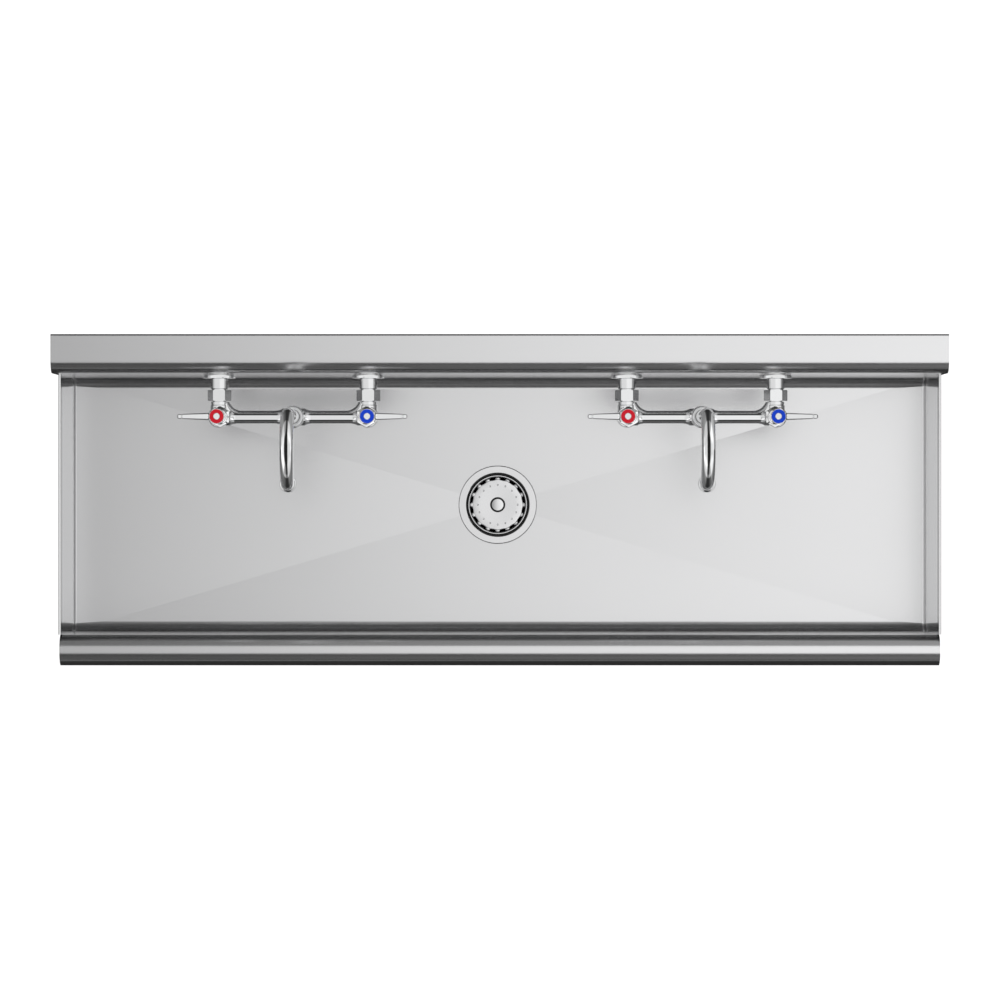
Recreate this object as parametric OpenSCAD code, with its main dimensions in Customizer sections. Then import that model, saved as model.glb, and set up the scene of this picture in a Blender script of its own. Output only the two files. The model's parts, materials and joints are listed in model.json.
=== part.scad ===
// Wall-hung stainless trough sink with two splash-mounted gooseneck faucets.
// Frame: +X along the sink, -Y towards the user, +Z up. The wall is the plane Y = 0,
// and the origin is on it, midway between the bolt holes of the wall bracket.

/* [Sink] */
// Overall length of the sink
sink_len = 1219; // [1150:1:1400]
// Depth of the ledge, from the wall to the face of the backsplash
ledge_depth = 52.7; // [48:0.1:70]
// Inside of the bowl, front to back
bowl_run = 358.3; // [330:0.1:460]
// Depth of the bowl, from the rim to the edge of its floor
bowl_depth = 203; // [150:1:260]
// Fall of the creased floor, from its edges to the drain
floor_fall = 12; // [8:1:20]
// Height of the backsplash above the rim
splash_h = 111; // [100:1:160]
// Outer radius of the rounded top front of the backsplash
bullnose_r = 19.3; // [12:0.1:24]
// Inner radius between the floor and the front and rear walls
cove_r = 16; // [8:1:24]
// Outer diameter of the rolled rim
rim_d = 43.2; // [36:0.1:50]
// How far round the front rim is rolled, in degrees
rim_wrap = 250; // [200:5:270]
// Thickness of the sheet
sheet_t = 1.6; // [1.2:0.1:2.0]
// Length of the edge turned down at the wall
tile_edge = 12.7; // [12:0.1:14]
// Outer radius of the bend above the turned-down edge
tile_bend_r = 3; // [2.2:0.1:5]
// Height of the folded hem along the top of each end
hem_h = 12; // [8:1:20]
// Gap inside the folded hem
hem_gap = 0.6; // [0.4:0.1:1.2]
// How far the splash ends reach below the rim
splash_end_drop = 25; // [15:1:40]
// How far the fittings sit to the left of the middle of the bowl
fit_shift = 3; // [0:1:10]

/* [Wall bracket] */
// Length of the wall bracket
bracket_len = 1000; // [860:10:1100]
// Thickness of the wall bracket
bracket_t = 3; // [2:0.5:4]
// Distance between the outer bolt holes
bolt_span = 812.8; // [700:0.1:840]
// Diameter of the bolt holes
bolt_d = 8; // [6:0.5:9]
// Distance from the top of the ledge down to the bolt holes
bolt_drop = 22; // [21:0.5:24]
// Room for the turned-down edge behind the lip of the bracket
lip_gap = 1.8; // [1:0.1:3]

/* [Drain] */
// Diameter of the drain flange
drain_flange_d = 111.4; // [108:0.1:120]
// Thickness of the drain flange
drain_flange_t = 2; // [1.5:0.1:3]
// Depth of the round seat pressed into the floor
seat_drop = 2.2; // [1.5:0.1:3]
// Diameter of the drain's mouth
drain_mouth_d = 90; // [89:0.5:94]
// Radius of the rounded edge of the drain's mouth
mouth_round = 1; // [0.6:0.1:3]
// Wall of the drain body
drain_wall = 2; // [1.5:0.1:2.4]
// Depth of the ledge that carries the basket, below the flange
basket_ledge = 9; // [8:0.5:11]
// Outer diameter of the rim of the basket
basket_d = 85; // [83.6:0.1:86]
// Width of the rim of the basket
basket_rim_w = 2.7; // [2.4:0.1:2.8]
// Diameter of the floor of the basket
basket_floor_d = 73; // [68:0.5:74]
// Number of bars and of dimples round the basket
bar_n = 16; // [12:1:20]
// Width of a bar between the floor and the rim of the basket
basket_bar_w = 4.6; // [2.5:0.1:5]
// Diameter of the ring of dimples
dimple_ring_d = 56.8; // [50:0.1:58]
// Diameter of a dimple
dimple_d = 2.8; // [1.5:0.1:4]
// Diameter of the top of the knob
knob_d = 16.4; // [12:0.1:17.5]
// Diameter of the rubber ring round the foot of the knob
knob_foot_d = 21.6; // [20.5:0.1:24]
// Height of the knob above the floor of the basket
knob_h = 11; // [8:0.5:16]
// Depth of the drain body, from its flange to the end of its outlet
drain_depth = 62; // [60:1:75]
// Outer diameter of the tailpiece
tail_d = 38.1; // [32:0.1:40]
// Wall of the tailpiece
tail_wall = 1.45; // [1:0.05:2]
// Length of the tailpiece
tail_len = 100; // [60:1:150]

/* [Faucets] */
// Distance between the two faucets
faucet_gap = 556; // [480:1:600]
// Distance between the two inlets of a faucet
inlet_gap = 203.2; // [190:0.1:215]
// Distance from the top of the ledge down to the axis of the faucet body
faucet_drop = 43; // [41:0.5:55]
// Distance from the face of the backsplash to the axis of the faucet body
faucet_out = 59.3; // [58:0.1:70]
// Diameter of the crossbar
bar_d = 17.6; // [15:0.1:19]
// Diameter of a valve housing
valve_d = 28.5; // [27:0.5:31]
// Diameter of the necks behind the valve housings
neck_d = 25; // [23:0.5:26]
// Inner radius of the sweep from a neck into the crossbar
sweep_r = 19; // [15:0.1:20]
// Diameter of the hub that carries the spout
hub_d = 30; // [28.5:0.5:33]
// Diameter of a wall flange
flange_d = 45.4; // [42:0.1:50]
// Thickness of a wall flange
flange_t = 6.3; // [6:0.1:9]
// Diameter of the collar in front of a wall flange
collar_d = 24.6; // [23:0.1:27]
// Length of the collar
collar_len = 15; // [12:0.5:16]
// Diameter of a supply shank
shank_d = 21; // [20:0.1:21.6]
// How far a shank reaches behind the backsplash
shank_tail = 37; // [30:1:40]
// Width across the flats of a coupling nut
nut_af = 28; // [27:0.5:32]
// Length of a coupling nut
nut_len = 15; // [14:0.5:17]
// Width across the flats of a bonnet
bonnet_af = 26; // [24:0.5:28]
// Diameter of a valve stem
stem_d = 10; // [8:0.5:11]

/* [Handles] */
// Height of the top of a handle above the axis of the faucet body
handle_top = 69; // [66:0.5:76]
// Diameter of the hub of a handle
handle_d = 20.3; // [20:0.1:23]
// Length of a lever, from the axis of its valve
lever_len = 54.5; // [45:0.5:70]
// Diameter of a lever at its root
lever_root_d = 9.6; // [8:0.1:11]
// Diameter of a lever near its tip
lever_tip_d = 6.2; // [5:0.1:7]
// Outer diameter of an index ring
index_d = 19; // [17:0.1:19.4]
// Diameter of the head of a handle screw
screw_d = 9.2; // [7:0.1:11]

/* [Spout] */
// Outer diameter of the spout tube
tube_d = 18.5; // [16:0.1:19]
// Wall of the spout tube
tube_wall = 1.3; // [1:0.1:2]
// Distance from the hub to the outlet
spout_reach = 91.5; // [80:0.5:100]
// Height of the middle of the arch above the axis of the faucet body
spout_rise = 224.5; // [180:0.5:260]
// Straight length between the arch and the aerator
outlet_drop = 7; // [4:0.5:40]
// Diameter of the aerator
aerator_d = 22.9; // [22:0.1:24]
// Length of the aerator
aerator_len = 17; // [14:0.5:22]
// Diameter of the spout nut
spout_nut_d = 27.4; // [27:0.1:29]
// Height of the top of the spout nut above the axis of the faucet body
spout_nut_top = 43; // [42:0.5:50]

/* [Fits] */
// Running gap between parts that turn in each other
run_gap = 0.05; // [0.02:0.01:0.09]
// Gap between parts that pass each other freely
free_gap = 0.4; // [0.3:0.05:0.6]

/* [Hidden] */
$fn = 96;
cut = 1; // how far a cutting shape runs past a face

// Sink, from the wall plane and the bolt line
face_y = -ledge_depth;
front_y = face_y - bowl_run;
mid_y = (face_y + front_y) / 2;
top_z = bolt_drop;
rim_z = top_z - splash_h;
edge_z = rim_z - bowl_depth;
low_z = edge_z - floor_fall;
half_len = sink_len / 2;
inner_half = half_len - 2 * sheet_t - hem_gap;
splash_half = half_len - sheet_t;
rim_cap_t = sheet_t + hem_gap; // from the outer face of an end panel to that of its hem
rim_r = rim_d / 2;
rim_y = front_y - rim_r;
rim_cz = rim_z - rim_r;
fall_angle = atan(floor_fall / (bowl_run / 2));
cove_cz = edge_z - cove_r * tan(fall_angle) + cove_r / cos(fall_angle);
drain_x = -fit_shift;

// Wall bracket
shelf_z = top_z - tile_edge;
lip_y = -(sheet_t + lip_gap);
lip_top = top_z - sheet_t - 1;
plate_bottom = -bolt_d / 2 - 3;

// Drain, as heights below the top of its flange
seat_z = low_z - seat_drop;
seat_gap = 0.5;
seat_r = drain_flange_d / 2 + seat_gap;
flange_z = seat_z + drain_flange_t;
mouth_r = drain_mouth_d / 2;
throat_in = mouth_r;
throat_out = throat_in + drain_wall;
rim_seat_w = 1.5;
ledge_r = basket_d / 2 - rim_seat_w;
seat_ring_t = 1.5;
basket_rim_h = 4.7;
basket_floor_t = 2.2;
basket_floor_z = basket_ledge + 1;
basket_dish = 1;
spigot_len = 16;
spigot_z = drain_depth - spigot_len;
cone_h = 28;
cup_depth = spigot_z - cone_h;
outlet_r = tail_d / 2 - tail_wall;
spigot_r = tail_d / 2 + 3.4;
gasket_t = 3;
fibre_t = 1;
lock_t = 9;
lock_z = drain_flange_t + sheet_t + gasket_t + fibre_t;
washer_t = 1.5;
tail_flange_t = 1.6;
tail_nut_h = 17;
stopper_h = 6;
stopper_z = spigot_z - 12;
stopper_r = outlet_r + 0.6;

// Faucets
left_x = drain_x - faucet_gap / 2;
right_x = drain_x + faucet_gap / 2;
axis_y = face_y - faucet_out;
axis_z = top_z - faucet_drop;
inlets = [-inlet_gap / 2, inlet_gap / 2];
bar_r = bar_d / 2;
valve_r = valve_d / 2;
neck_r = neck_d / 2;
hub_r = hub_d / 2;
bar_bore_r = 5;
// Distances forward of the face of the backsplash
collar_end = flange_t + collar_len;
shank_tip = collar_end + 7;
seal_t = 2;
lip_front = shank_tip + seal_t + 3;
nut_start = collar_end + 1;
nut_end = nut_start + nut_len;
thread_r = shank_d / 2 + 0.3;
tail_r = shank_d / 2 - 1.4;
ring_len = 4.5;
ring_start = nut_end + 0.8;
locknut_t = 6;
locknut_af = 32;
// Heights above the axis of the faucet body
valve_top = 17;
valve_foot = -15;
socket_r = 8.2;
socket_z = -6;
bonnet_hex_h = 10;
bonnet_neck_h = 9;
bonnet_neck_r = 10.5;
bonnet_top = valve_top + bonnet_hex_h + bonnet_neck_h;
stem_r = stem_d / 2;
stem_tip_r = stem_r - 1;
handle_z = bonnet_top + 1.6;
stem_shoulder = handle_z + 3;
index_t = 1.8;
index_z = handle_top - 0.8 - index_t;
web_t = 5;
stem_top = index_z - web_t;
lever_z = (handle_z + index_z) / 2;
screw_thread_r = 2;
screw_len = 14;
hub_foot = -14;
hub_shoulder = 12;
hub_top = 26;
hub_thread_r = spout_nut_d / 2 - 2.1;
spout_tail_z = 0;
tube_r = tube_d / 2;
spout_collar_t = 3;
spout_collar_r = hub_thread_r - 0.3;
spout_collar_z = hub_top + 0.3;
spout_seal_t = 2.4;
spout_seal_z = spout_collar_z + spout_collar_t;
spout_cavity_top = spout_seal_z + spout_seal_t + 0.3;
bend_r = spout_reach / 2;
bend_z = spout_rise - bend_r;
aerator_over = 5;

// A profile drawn as (Y, Z), drawn out along X, centred
module along_x(len) {
    translate([-len / 2, 0, 0]) rotate([90, 0, 90]) linear_extrude(len) children();
}

// A profile drawn as (X, Z), drawn out along Y from back to front
module along_y(back, front) {
    translate([0, back, 0]) rotate([90, 0, 0]) linear_extrude(back - front) children();
}

// A turned shape from (radius, height) points
module turned(points) {
    rotate_extrude() polygon(points);
}

// A ring or a disc with a bore, from z = from to z = to
module ring(outer_r, inner_r, from, to) {
    translate([0, 0, from]) difference() {
        cylinder(r = outer_r, h = to - from);
        translate([0, 0, -cut]) cylinder(r = inner_r, h = to - from + 2 * cut);
    }
}

// A rectangle on the axis of a turned shape, with its outer top corner rounded
module soft_corner(w, h, r) {
    square([w - r, h]);
    square([w, h - r]);
    translate([w - r, h - r]) intersection() {
        circle(r = r);
        square(r);
    }
}

// The same with both top corners rounded, from radius inner on
module soft_band(inner, w, h, r) {
    translate([inner, 0]) intersection() {
        soft_corner(w, h, r);
        translate([w, 0]) mirror([1, 0]) soft_corner(w, h, r);
    }
}

// A hexagonal prism with its corners chamfered at both ends
module hex_prism(af, from, to) {
    corner_r = af / 2 / cos(30);
    bevel_r = (af / 2 + corner_r) / 2;
    chamfer = (corner_r + cut - bevel_r) * tan(30);
    intersection() {
        translate([0, 0, from]) cylinder(r = corner_r, h = to - from, $fn = 6);
        turned([
            [0, from], [bevel_r, from], [corner_r + cut, from + chamfer],
            [corner_r + cut, to - chamfer], [bevel_r, to], [0, to]
        ]);
    }
}

// Section of the bowl as (Y, Z), grown outwards by a wall
module bowl_section(grow, rear_top, front_top) {
    r = cove_r + grow;
    rear_c = face_y - cove_r;
    front_c = front_y + cove_r;
    foot_z = cove_cz - r * cos(fall_angle);
    polygon([
        [face_y + grow, rear_top], [face_y + grow, cove_cz], [rear_c, cove_cz],
        [rear_c + r * sin(fall_angle), foot_z], [mid_y, low_z - grow / cos(fall_angle)],
        [front_c - r * sin(fall_angle), foot_z], [front_c, cove_cz],
        [front_y - grow, cove_cz], [front_y - grow, front_top],
        [front_y + cut, front_top], [face_y - cut, rear_top]
    ]);
    translate([rear_c, cove_cz]) circle(r = r);
    translate([front_c, cove_cz]) circle(r = r);
}

// Everything above the end facets of the floor, as (X, Z)
module floor_vee(grow) {
    far = half_len + 10;
    left_rise = floor_fall * (far + drain_x) / (inner_half + drain_x);
    right_rise = floor_fall * (far - drain_x) / (inner_half - drain_x);
    polygon([
        [-far, top_z], [-far, low_z + left_rise - grow], [drain_x, low_z - grow],
        [far, low_z + right_rise - grow], [far, top_z]
    ]);
}

// The creased bowl as a solid, for the outside (a wall thicker) or for the hollow
module bowl_solid(grow, half, rear_top, front_top) {
    intersection() {
        along_x(2 * half) bowl_section(grow, rear_top, front_top);
        along_y(0, front_y - rim_d) floor_vee(grow);
    }
}

// Section of the splash, the ledge and the edge turned down at the wall, as (Y, Z)
module splash_section() {
    nose_y = face_y + bullnose_r;
    nose_z = top_z - bullnose_r;
    translate([face_y, rim_z]) square([sheet_t, nose_z - rim_z]);
    translate([nose_y, nose_z]) bend_quarter(bullnose_r, 90);
    translate([nose_y, top_z - sheet_t]) square([-tile_bend_r - nose_y, sheet_t]);
    translate([-tile_bend_r, top_z - tile_bend_r]) bend_quarter(tile_bend_r, 0);
    translate([-sheet_t, shelf_z]) square([sheet_t, tile_edge - tile_bend_r]);
}

// A quarter of a bend in the sheet, turned by an angle
module bend_quarter(outer_r, turn) {
    rotate(turn) intersection() {
        difference() {
            circle(r = outer_r);
            circle(r = outer_r - sheet_t);
        }
        square(outer_r);
    }
}

// Section of the rolled front rim, as (Y, Z)
module rim_section() {
    far = 2 * rim_r;
    translate([rim_y, rim_cz]) difference() {
        circle(r = rim_r);
        circle(r = rim_r - sheet_t);
        polygon([
            [0, 0], [far * cos(rim_wrap), far * sin(rim_wrap)],
            [far * cos(315), far * sin(315)], [far, 0]
        ]);
    }
}

// One bent sheet: ledge, splash, rear wall, creased floor, front wall and rolled rim
module trough_pan() {
    hole_r = throat_out + 0.8;
    faucet_holes = [for (fx = [left_x, right_x], inlet = inlets) fx + inlet];
    color("silver") difference() {
        union() {
            difference() {
                union() {
                    bowl_solid(sheet_t, inner_half, rim_z, rim_cz);
                    translate([drain_x, mid_y, seat_z - sheet_t])
                        cylinder(r = seat_r + sheet_t, h = seat_drop + sheet_t);
                }
                bowl_solid(0, half_len + cut, top_z - cut, top_z - cut);
                translate([drain_x, mid_y, seat_z]) cylinder(r = seat_r, h = floor_fall);
            }
            along_x(2 * splash_half) splash_section();
            along_x(2 * (half_len - rim_cap_t)) rim_section();
        }
        translate([drain_x, mid_y, seat_z - 2 * sheet_t]) cylinder(r = hole_r, h = 3 * sheet_t);
        for (x = faucet_holes)
            translate([x, face_y - cut, axis_z]) rotate([-90, 0, 0])
                cylinder(r = thread_r + free_gap, h = sheet_t + 2 * cut);
    }
}

// Flat welded end of the bowl, with a folded hem along its top
module end_panel(side) {
    hem_out = 2 * sheet_t + hem_gap;
    mirror([side < 0 ? 1 : 0, 0, 0]) color("silver") {
        intersection() {
            translate([inner_half, 0, 0]) rotate([90, 0, 90]) linear_extrude(sheet_t) end_outline();
            along_y(0, front_y - rim_d) mirror([side < 0 ? 1 : 0, 0]) floor_vee(sheet_t);
        }
        along_y(face_y, front_y) translate([inner_half, rim_z]) {
            translate([hem_out / 2, -hem_out / 2]) intersection() {
                difference() {
                    circle(r = hem_out / 2);
                    circle(r = hem_gap / 2);
                }
                translate([-hem_out, 0]) square([2 * hem_out, hem_out]);
            }
            translate([sheet_t + hem_gap, -hem_h]) square([sheet_t, hem_h - hem_out / 2]);
        }
    }
}

// Outline of an end panel below its hem, as (Y, Z)
module end_outline() {
    hem_z = rim_z - sheet_t - hem_gap / 2;
    difference() {
        union() {
            bowl_section(sheet_t, hem_z, rim_cz);
            translate([front_y, rim_cz]) square([face_y + sheet_t - front_y, hem_z - rim_cz]);
        }
        translate([face_y + sheet_t, hem_z]) square(sheet_t);
    }
}

// Welded cap over the end of the splash and ledge
module splash_end(side) {
    mirror([side < 0 ? 1 : 0, 0, 0]) color("silver")
        translate([splash_half, 0, 0]) rotate([90, 0, 90]) linear_extrude(sheet_t) {
            nose_y = face_y + bullnose_r;
            foot_z = rim_z - splash_end_drop;
            polygon([
                [face_y, foot_z], [0, foot_z], [0, top_z - tile_bend_r],
                [-tile_bend_r, top_z - tile_bend_r], [-tile_bend_r, top_z], [nose_y, top_z],
                [nose_y, top_z - bullnose_r], [face_y, top_z - bullnose_r]
            ]);
            translate([nose_y, top_z - bullnose_r]) circle(r = bullnose_r);
            translate([-tile_bend_r, top_z - tile_bend_r]) circle(r = tile_bend_r);
        }
}

// Domed cap on the end of the rolled rim
module rim_cap(side) {
    edge_t = 0.8;
    dome = rim_cap_t - edge_t;
    dome_r = (rim_r * rim_r + dome * dome) / (2 * dome);
    mirror([side < 0 ? 1 : 0, 0, 0]) color("silver")
        translate([half_len - rim_cap_t, rim_y, rim_cz]) rotate([0, 90, 0])
            rotate_extrude() intersection() {
                square([rim_r, rim_cap_t]);
                translate([0, rim_cap_t - dome_r]) circle(r = dome_r);
            }
}

// Z-shaped cleat on the wall, which the turned-down edge of the ledge drops behind
module wall_bracket() {
    color("gray") difference() {
        along_x(bracket_len) {
            polygon([
                [0, plate_bottom], [0, shelf_z], [lip_y, shelf_z], [lip_y, lip_top],
                [lip_y - bracket_t, lip_top], [lip_y - bracket_t, shelf_z - bracket_t],
                [-bracket_t, shelf_z - bracket_t], [-bracket_t, plate_bottom]
            ]);
        }
        for (x = [-bolt_span / 2, 0, bolt_span / 2])
            translate([x, cut, 0]) rotate([90, 0, 0]) cylinder(r = bolt_d / 2, h = bracket_t + 2 * cut);
    }
}

// Everything of the drain is placed from the top of its flange
module at_drain() {
    translate([drain_x, mid_y, flange_z]) children();
}

// Flanged cup of the drain, with a ledge for the basket and a threaded outlet
module drain_body() {
    flange_r = drain_flange_d / 2;
    mouth_mid = mouth_round * (1 - cos(45));
    color("lightgray") at_drain() turned([
        [flange_r - 1, 0], [throat_in + mouth_round, 0], [throat_in + mouth_mid, -mouth_mid],
        [throat_in, -mouth_round], [throat_in, -basket_ledge], [ledge_r, -basket_ledge],
        [ledge_r, -cup_depth], [outlet_r, -spigot_z], [outlet_r, -drain_depth], [spigot_r, -drain_depth],
        [spigot_r, -spigot_z], [throat_out, -cup_depth - 2], [throat_out, -drain_flange_t],
        [flange_r, -drain_flange_t], [flange_r, -0.6]
    ]);
}

// Rubber ring on the ledge of the drain, under the rim of the basket
module basket_seat() {
    color("black") at_drain()
        ring(throat_in - free_gap, ledge_r, -basket_ledge, -basket_ledge + seat_ring_t);
}

// Soft gasket under the floor
module drain_gasket() {
    z = drain_flange_t + sheet_t;
    color("dimgray") at_drain() ring(seat_r - 1, throat_out + free_gap, -z - gasket_t, -z);
}

// Slip ring between the gasket and the locknut
module fibre_washer() {
    z = drain_flange_t + sheet_t + gasket_t;
    color("tan") at_drain() ring(seat_r - 1, throat_out + free_gap, -z - fibre_t, -z);
}

// Large locknut with lugs for a spanner
module drain_locknut() {
    lug_n = 6;
    lug_w = 10;
    lug_out = 4;
    body_r = throat_out + 6;
    color("gainsboro") at_drain() {
        ring(body_r, throat_out + run_gap, -lock_z - lock_t, -lock_z);
        for (i = [0 : lug_n - 1])
            rotate((i + 0.5) * 360 / lug_n) translate([body_r - 2, -lug_w / 2, -lock_z - lock_t])
                cube([lug_out + 2, lug_w, lock_t]);
    }
}

// Washer between the outlet and the tailpiece
module tailpiece_washer() {
    color("white") at_drain() ring(spigot_r - 0.4, outlet_r, -drain_depth - washer_t, -drain_depth);
}

// Flanged outlet tube
module tailpiece() {
    z = drain_depth + washer_t;
    tube = tail_d / 2;
    swell = tube + free_gap / 2;
    swell_len = 6;
    color("silver") at_drain() turned([
        [outlet_r, -z], [spigot_r - 0.4, -z], [spigot_r - 0.4, -z - tail_flange_t],
        [swell, -z - tail_flange_t], [swell, -z - tail_flange_t - swell_len],
        [tube, -z - tail_flange_t - swell_len], [tube, -z - tail_len], [outlet_r, -z - tail_len]
    ]);
}

// Slip nut that pulls the tailpiece up to the outlet
module tailpiece_nut() {
    foot = drain_depth + washer_t + tail_flange_t;
    top = foot + 2.4 - tail_nut_h;
    color("silver") at_drain() difference() {
        hex_prism(2 * spigot_r + 8, -foot - 2.4, -top);
        translate([0, 0, -foot]) cylinder(r = spigot_r + run_gap, h = tail_nut_h + cut);
        translate([0, 0, -foot - 2.4 - cut]) cylinder(r = tail_d / 2 + free_gap, h = tail_nut_h);
    }
}

// Lift-out basket: a rounded floor with a ring of dimples, short bars, and a rim with rounded edges
module strainer_basket() {
    rim_in = basket_d / 2 - basket_rim_w;
    floor_r = basket_floor_d / 2;
    floor_round = 2;
    skirt_t = basket_rim_w - rim_seat_w - free_gap;
    dish_r = dimple_ring_d / 2 - dimple_d;
    foot_z = basket_floor_z + basket_floor_t;
    post_r = 4;
    bar_in = floor_r - floor_round / 2;
    bar_drop = 0.7;
    bar_t = 1.3;
    dimple_depth = 0.4;
    dimple_r = (dimple_d * dimple_d / 4 + dimple_depth * dimple_depth) / (2 * dimple_depth);
    color("gainsboro") at_drain() difference() {
        union() {
            rotate_extrude() {
                translate([0, -foot_z]) difference() {
                    soft_corner(floor_r, basket_floor_t, floor_round);
                    polygon([
                        [0, basket_floor_t - basket_dish], [knob_foot_d / 2, basket_floor_t - basket_dish],
                        [dish_r, basket_floor_t], [dish_r, basket_floor_t + cut], [0, basket_floor_t + cut]
                    ]);
                }
                translate([0, seat_ring_t - basket_ledge]) soft_band(rim_in, basket_rim_w, basket_rim_h, 1.1);
                translate([rim_in, -foot_z]) square([skirt_t, foot_z - basket_ledge + seat_ring_t + 1]);
            }
            translate([0, 0, -stopper_z]) cylinder(r = post_r, h = stopper_z - foot_z + 1);
            for (i = [0 : bar_n - 1])
                rotate(90 + i * 360 / bar_n)
                    translate([bar_in, -basket_bar_w / 2, -basket_floor_z - bar_drop - bar_t])
                        cube([rim_in + skirt_t / 2 - bar_in, basket_bar_w, bar_t]);
        }
        for (i = [0 : bar_n - 1])
            rotate(90 + i * 360 / bar_n)
                translate([dimple_ring_d / 2, 0, -basket_floor_z - dimple_depth + dimple_r])
                    sphere(r = dimple_r, $fn = 24);
    }
}

// Pull knob on the basket, with a domed top
module strainer_knob() {
    top_r = knob_d / 2;
    dome = 0.7;
    dome_r = (top_r * top_r + dome * dome) / (2 * dome);
    tall = knob_h + basket_dish;
    color("gainsboro") at_drain() translate([0, 0, -basket_floor_z - basket_dish])
        rotate_extrude() intersection() {
            soft_corner(top_r, tall, 1.2);
            translate([0, tall - dome_r]) circle(r = dome_r, $fn = 360);
        }
}

// Rubber ring round the foot of the knob
module knob_ring() {
    ring_h = 2.4;
    top_r = knob_d / 2 + run_gap;
    color("black") at_drain() translate([0, 0, -basket_floor_z - basket_dish]) rotate_extrude()
        soft_band(top_r, knob_foot_d / 2 - top_r, ring_h, 0.7);
}

// Rubber stopper under the basket
module strainer_stopper() {
    lip_r = stopper_r + 2.4;
    color("black") at_drain() translate([0, 0, -stopper_z - stopper_h]) turned([
        [0, 0], [stopper_r - 1.2, 0], [lip_r, stopper_h - 1.5], [lip_r, stopper_h], [0, stopper_h]
    ]);
}

// Places a child on the axis of a faucet body
module at_faucet(fx) {
    translate([fx, axis_y, axis_z]) children();
}

// Repeats a child at both inlets, with its Z axis pointing forward from the face of the splash
module at_inlets(fx) {
    for (inlet = inlets) translate([fx + inlet, face_y, axis_z]) rotate([90, 0, 0]) children();
}

// Half of the crossbar, from the middle of the hub outwards, flared at the hub and at the valve
module bar_half() {
    flare_out = 8.2;
    flare_r = 12;
    step = 0.4;
    hub_flare_end = hub_r + flare_out;
    valve_flare_end = inlet_gap / 2 - valve_r - flare_out;
    rotate([0, 90, 0]) rotate_extrude() {
        square([bar_r, inlet_gap / 2]);
        difference() {
            square([bar_r + 3, hub_flare_end]);
            translate([bar_r + step + flare_r, hub_flare_end]) circle(r = flare_r);
        }
        difference() {
            translate([0, valve_flare_end]) square([bar_r + 3, inlet_gap / 2 - valve_flare_end]);
            translate([bar_r + step + flare_r, valve_flare_end]) circle(r = flare_r);
        }
    }
}

// One side of a faucet body: neck, sweep, valve housing and half of the crossbar
module body_side() {
    neck_len = faucet_out - ring_start;
    sweep_tube = bar_r - 0.6;
    sweep_x = neck_r + sweep_r - 0.2;
    sweep_y = bar_r + sweep_r - 0.2;
    sweep_end = neck_len - 0.6;
    bar_half();
    translate([inlet_gap / 2, 0, 0]) {
        turned([
            [0, valve_foot - 4], [valve_r - 5, valve_foot - 4], [valve_r - 1.5, valve_foot],
            [valve_r, valve_foot + 2], [valve_r, valve_top - 1], [valve_r - 1, valve_top], [0, valve_top]
        ]);
        rotate([-90, 0, 0]) turned([
            [0, 0], [neck_r, 0], [neck_r, neck_len - ring_len - 1], [neck_r - 1, neck_len - ring_len],
            [neck_r - 0.6, neck_len - ring_len + 0.4], [neck_r - 0.6, neck_len - 0.6], [neck_r - 1.2, neck_len],
            [tail_r, neck_len], [tail_r, faucet_out - lip_front], [thread_r - 0.4, faucet_out - lip_front],
            [thread_r - 0.4, faucet_out - shank_tip - seal_t], [0, faucet_out - shank_tip - seal_t]
        ]);
        intersection() {
            translate([-sweep_x, sweep_y, 0]) rotate(270) rotate_extrude(angle = 90)
                translate([sweep_r + sweep_tube, 0]) circle(r = sweep_tube);
            translate([-sweep_x - cut, -bar_r, -bar_r]) cube([sweep_x + neck_r, bar_r + sweep_end, 2 * bar_r]);
        }
    }
}

// Waterways of one side of a faucet body
module body_side_bores() {
    rotate([0, 90, 0]) cylinder(r = bar_bore_r, h = inlet_gap / 2);
    translate([inlet_gap / 2, 0, 0]) {
        rotate([-90, 0, 0]) cylinder(r = bar_bore_r + 1, h = faucet_out);
        translate([0, 0, socket_z]) cylinder(r = socket_r, h = valve_top - socket_z + cut);
    }
}

// Cast body of a faucet: crossbar, hub, two valve housings and two inlet necks
module faucet_body(fx) {
    socket_foot = 3; // below the end of the spout
    color("silver") at_faucet(fx) difference() {
        union() {
            body_side();
            mirror([1, 0, 0]) body_side();
            turned([
                [0, hub_foot - 3], [hub_r - 5, hub_foot - 3], [hub_r - 1.5, hub_foot], [hub_r, hub_foot + 2],
                [hub_r, hub_shoulder - 1.5], [hub_r - 1.5, hub_shoulder], [hub_thread_r, hub_shoulder],
                [hub_thread_r, hub_top], [0, hub_top]
            ]);
        }
        body_side_bores();
        mirror([1, 0, 0]) body_side_bores();
        translate([0, 0, spout_tail_z - socket_foot])
            cylinder(r = tube_r + free_gap, h = hub_top + cut - spout_tail_z + socket_foot);
    }
}

// Round flanges against the splash
module wall_flanges(fx) {
    step_t = 3;
    flange_r = flange_d / 2;
    bore_r = thread_r + free_gap;
    color("silver") at_inlets(fx) turned([
        [bore_r, 0], [flange_r - 4, 0], [flange_r - 4, step_t - 0.6], [flange_r - 0.8, step_t],
        [flange_r, step_t + 0.8], [flange_r, flange_t - 1.2], [flange_r - 1.2, flange_t], [bore_r, flange_t]
    ]);
}

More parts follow.
